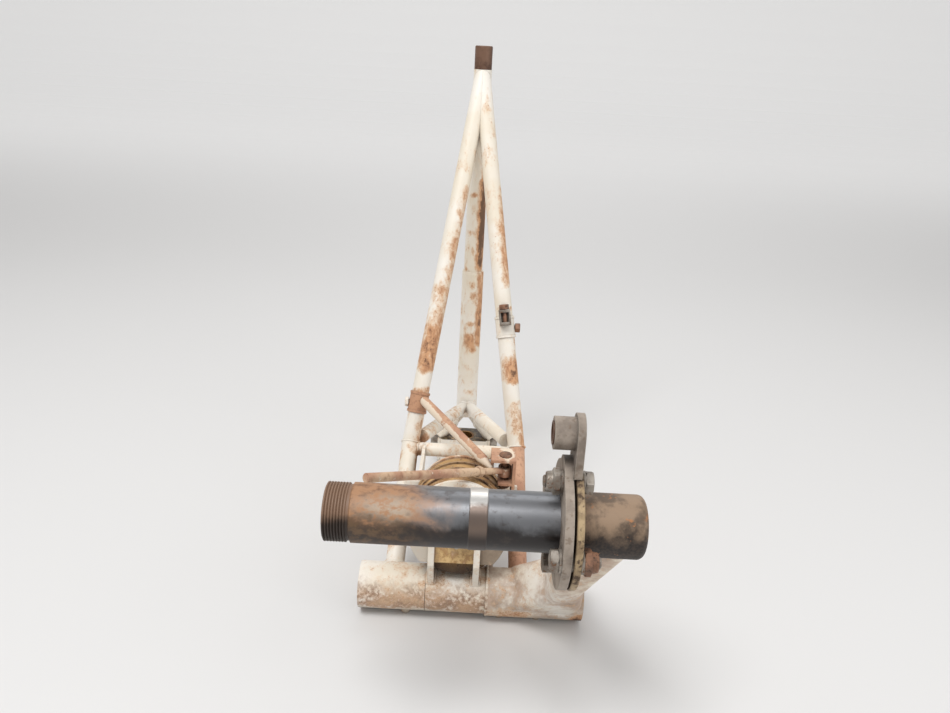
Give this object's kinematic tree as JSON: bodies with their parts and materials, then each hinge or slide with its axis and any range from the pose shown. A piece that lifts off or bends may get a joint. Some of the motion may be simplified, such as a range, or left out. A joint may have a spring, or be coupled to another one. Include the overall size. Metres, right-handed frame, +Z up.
{
  "type": "main landing gear leg",
  "caption": "Trailing-link main landing gear leg: welded tube truss on a retraction axis, rubber disc shock stack, stub axle and brake torque plate.",
  "frame": {"origin": "centre of the forward pivot bore's mouth, on the ground plane, on the retraction axis", "axes": "+Z up along the retraction axis to the aft journal; -X along the wheel axle to its threaded outboard end; -Y towards the wheel, which is down on the aircraft"},
  "size_m": [0.1968, 0.428, 0.4445],
  "materials": {
    "white_paint": "worn gloss, chipped to rust",
    "primer_rust": "rust and primer with paint remnants",
    "bare_steel_brown": "brown surface rust",
    "turned_steel": "turned, half rusted",
    "zinc_steel": "dull zinc",
    "cast_alloy": "dirty casting",
    "bronze": "oiled",
    "tan_rubber": "aged, dusty"
  },
  "bodies": {
    "truss": {"aft_journal": "bare_steel_brown", "apex_socket": "white_paint", "pivot_tube": "white_paint", "pivot_sleeve": "white_paint", "sleeve_plug": "white_paint", "left_drag_tube": "white_paint", "right_drag_tube": "white_paint", "left_leg": "white_paint", "right_leg": "primer_rust", "cross_tube": "white_paint", "bearing_block": "white_paint", "forward_bush": "bronze", "bearing_cheeks": "white_paint", "bearing_side_bolts": "zinc_steel", "left_outer_strut": "white_paint", "right_outer_strut": "white_paint", "left_inner_strut": "white_paint", "right_inner_strut": "white_paint", "left_hinge_boss": "white_paint", "right_hinge_boss": "white_paint", "truss_hinge_bushes": "bronze", "hinge_pin": "bare_steel_brown", "hinge_pin_nut": "zinc_steel", "boss_grease_fitting": "white_paint", "shock_head": "white_paint", "shock_head_gussets": "white_paint", "shock_bolt": "zinc_steel", "shock_bolt_nut": "zinc_steel", "left_clamp": "primer_rust", "right_clamp": "white_paint", "right_clamp_block": "zinc_steel", "clamp_bolts": "zinc_steel", "door_rod_bracket": "white_paint", "door_brace": "white_paint", "rod_bolt": "zinc_steel", "rubber_disc_1": "tan_rubber", "rubber_disc_2": "tan_rubber", "rubber_disc_3": "tan_rubber", "rubber_disc_4": "tan_rubber"},
    "link": {"link_tube": "white_paint", "link_bushes": "bronze", "link_grease_fittings": "white_paint", "trailing_arm": "white_paint", "axle_stub": "bare_steel_brown", "axle": "turned_steel", "axle_flange": "bare_steel_brown", "brake_torque_plate": "cast_alloy", "anchor_bushes": "bare_steel_brown", "flange_bolts": "zinc_steel", "flange_nuts": "zinc_steel", "flange_washers": "zinc_steel", "shock_pad": "white_paint", "left_pad_web": "white_paint", "right_pad_web": "white_paint"},
    "plate_3": {"shock_plate_3": "bare_steel_brown"},
    "plate_2": {"shock_plate_2": "bare_steel_brown"},
    "plate_1": {"shock_plate_1": "bare_steel_brown"},
    "door_rod": {"rod_eye": "zinc_steel", "rod_jam_nut": "zinc_steel", "door_rod": "white_paint"}
  },
  "joints": [
    {"name": "link_pivot", "type": "hinge", "parent": "truss", "child": "link", "pos_m": [0, -0.252, 0.023], "axis": [-1, 0, 0], "range_deg": [0, 14], "stiffness_Nm_per_rad": 3000, "deforming": ["rubber_disc_1", "rubber_disc_2", "rubber_disc_3", "rubber_disc_4"]},
    {"name": "plate_3_pivot", "type": "hinge", "parent": "truss", "child": "plate_3", "pos_m": [0, -0.252, 0.023], "axis": [-1, 0, 0], "range_deg": [0, 3.5]},
    {"name": "plate_2_pivot", "type": "hinge", "parent": "plate_3", "child": "plate_2", "pos_m": [0, -0.252, 0.023], "axis": [-1, 0, 0], "range_deg": [0, 3.5]},
    {"name": "plate_1_pivot", "type": "hinge", "parent": "plate_2", "child": "plate_1", "pos_m": [0, -0.252, 0.023], "axis": [-1, 0, 0], "range_deg": [0, 3.5]},
    {"name": "door_rod_swivel", "type": "hinge", "parent": "truss", "child": "door_rod", "pos_m": [0.0364, -0.214, 0.116], "axis": [0, 0, 1], "range_deg": [-10, 5]}
  ],
  "couplings": [
    {"joint": "plate_3_pivot", "follows": "link_pivot", "ratio": 0.25},
    {"joint": "plate_2_pivot", "follows": "link_pivot", "ratio": 0.25},
    {"joint": "plate_1_pivot", "follows": "link_pivot", "ratio": 0.25}
  ]
}
